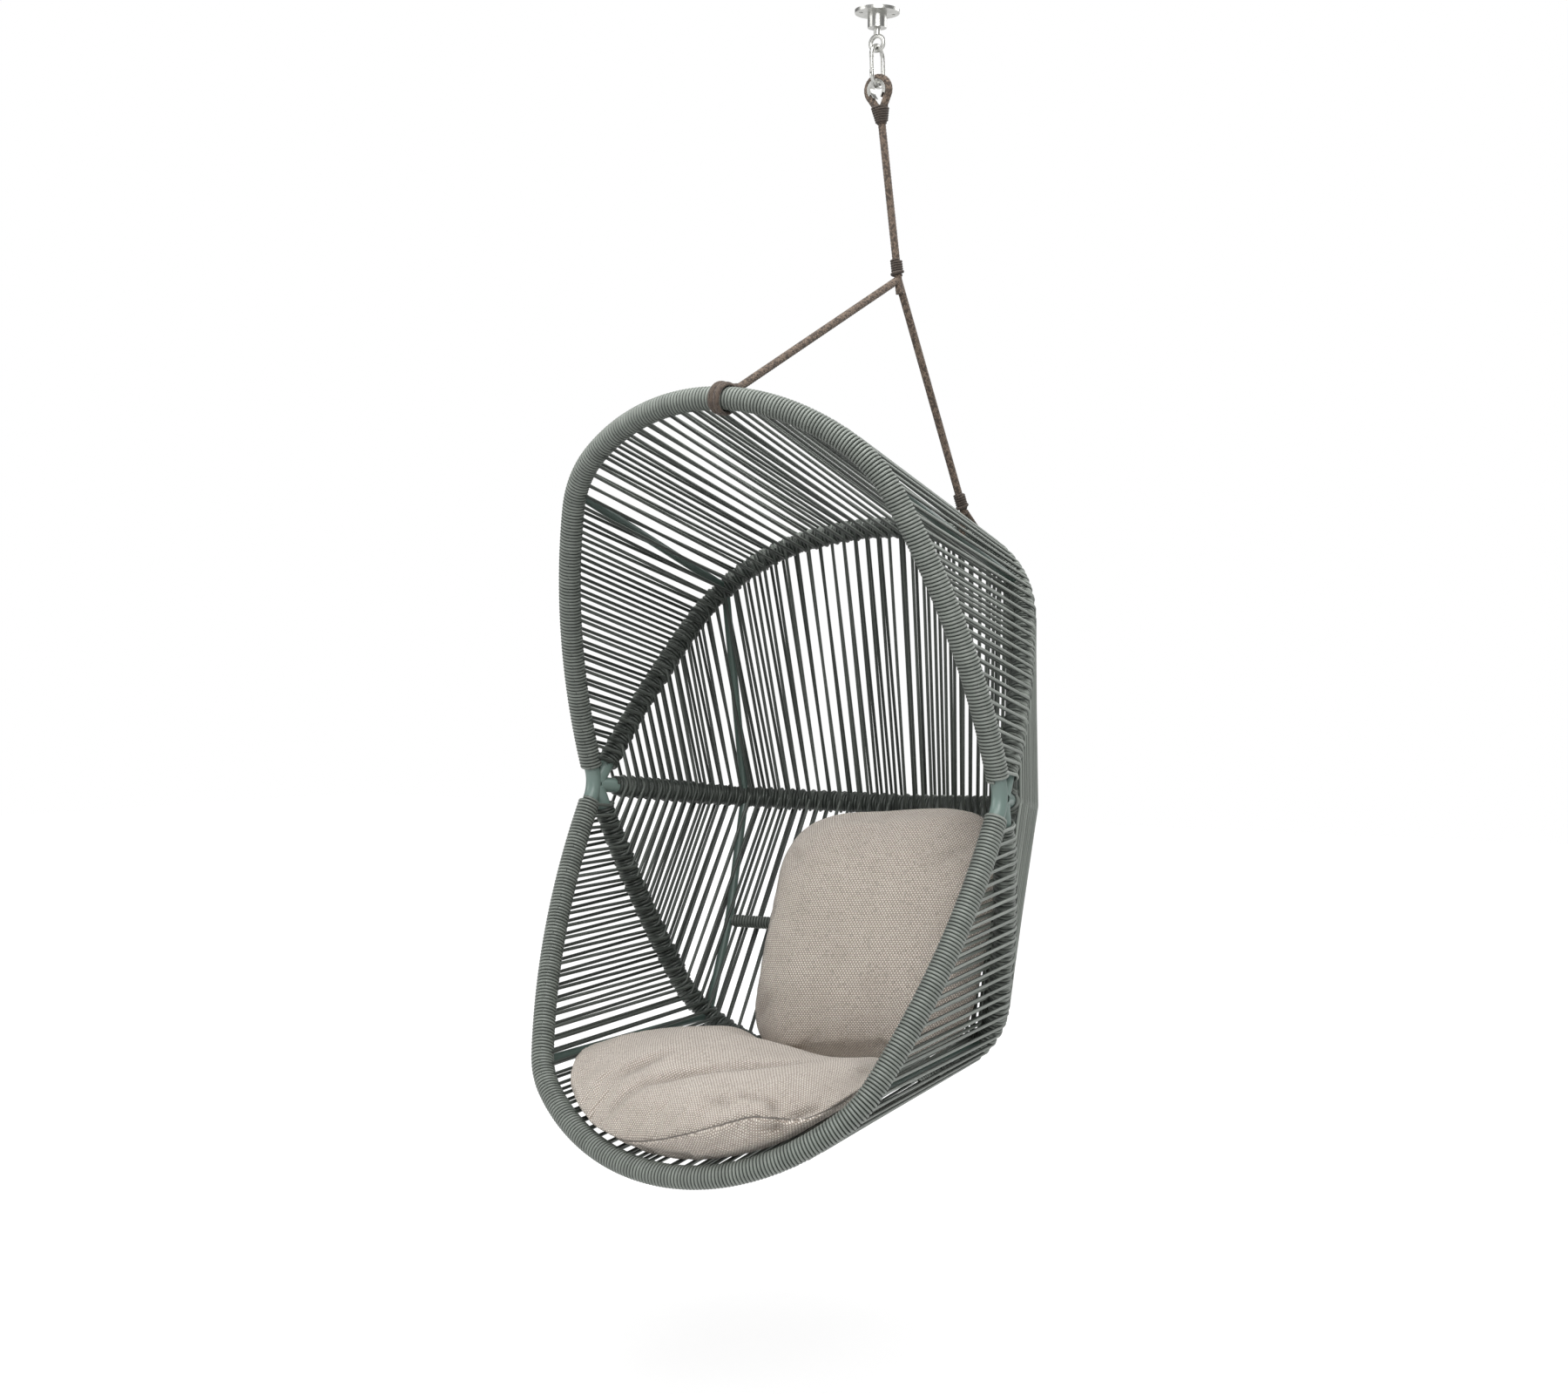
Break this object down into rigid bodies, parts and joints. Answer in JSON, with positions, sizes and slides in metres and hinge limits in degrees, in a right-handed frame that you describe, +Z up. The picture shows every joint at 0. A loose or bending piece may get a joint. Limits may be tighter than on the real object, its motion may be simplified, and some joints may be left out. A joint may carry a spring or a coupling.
{
  "type": "hanging egg chair",
  "caption": "Hanging egg chair: tube arches wound and strung with round cord, seat and back cushions, and a Y-shaped rope harness on a ceiling swivel.",
  "frame": {"origin": "on the ceiling, at the middle of the ceiling plate's upper face", "axes": "+Z up, the opening of the chair faces -Y, +X to the viewer's right when looking into the opening"},
  "size_m": [0.89, 0.8335, 2.0344],
  "materials": {
    "frame_paint": "matt sage green powder coat on aluminium tube",
    "green_cord": "round grey-green polyolefin cord, low sheen",
    "brown_rope": "braided brown rope with dark flecks",
    "plated_steel": "plain zinc-plated steel",
    "taupe_weave": "coarse taupe basket weave with light and brown flecks"
  },
  "bodies": {
    "ceiling": {"ceiling_plate": "plated_steel", "swivel_housing": "plated_steel"},
    "swivel": {"swivel_eye": "plated_steel"},
    "carabiner": {"carabiner": "plated_steel", "gate_pin": "plated_steel"},
    "gate": {"carabiner_gate": "plated_steel"},
    "chair": {"thimble": "plated_steel", "rope_eye": "brown_rope", "eye_seizing": "brown_rope", "main_rope": "brown_rope", "knot_seizing": "brown_rope", "front_leg": "brown_rope", "front_loop": "brown_rope", "rear_leg": "brown_rope", "rear_seizing": "brown_rope", "rear_loop": "brown_rope", "side_joint_right": "frame_paint", "side_joint_left": "frame_paint", "hood_rim_tube": "frame_paint", "upper_back_tube": "frame_paint", "middle_back_tube": "frame_paint", "lower_back_tube": "frame_paint", "seat_rim_tube": "frame_paint", "hood_rim_winding": "green_cord", "upper_back_winding": "green_cord", "middle_back_winding": "green_cord", "lower_back_winding": "green_cord", "seat_rim_winding": "green_cord", "hood_rib_right": "frame_paint", "hood_rib_left": "frame_paint", "upper_back_rib_right": "frame_paint", "upper_back_rib_left": "frame_paint", "lower_back_rib_right": "frame_paint", "lower_back_rib_left": "frame_paint", "seat_rib_right": "frame_paint", "seat_rib_left": "frame_paint", "crossbar": "frame_paint", "crossbar_winding": "green_cord", "hood_web": "green_cord", "upper_back_web": "green_cord", "lower_back_web": "green_cord", "seat_web": "green_cord"},
    "seat_pad": {"seat_cushion": "taupe_weave"},
    "back_pad": {"back_cushion": "taupe_weave"}
  },
  "joints": [
    {"name": "ceiling_swivel", "type": "hinge", "parent": "ceiling", "child": "swivel", "pos_m": [0, 0, -0.03], "axis": [0, 0, 1], "continuous": true},
    {"name": "swing_front_back", "type": "hinge", "parent": "swivel", "child": "carabiner", "pos_m": [0, 0, -0.072], "axis": [1, 0, 0], "range_deg": [-20, 20]},
    {"name": "swing_side", "type": "hinge", "parent": "carabiner", "child": "chair", "pos_m": [0, 0.00371, -0.13579], "axis": [0, 0.9983, 0.058], "range_deg": [-20, 20]},
    {"name": "gate_hinge", "type": "hinge", "parent": "carabiner", "child": "gate", "pos_m": [0, -0.01771, -0.11199], "axis": [-1, 0, 0], "range_deg": [0, 25], "stiffness_Nm_per_rad": 0.05, "springref_deg": -28.65},
    {"name": "seat_cushion_slide", "type": "slide", "parent": "chair", "child": "seat_pad", "axis": [0, -0.9897, -0.1435], "range_m": [0, 0.12]},
    {"name": "back_cushion_lift", "type": "slide", "parent": "chair", "child": "back_pad", "axis": [0, -0.5, 0.866], "range_m": [0, 0.12]}
  ]
}
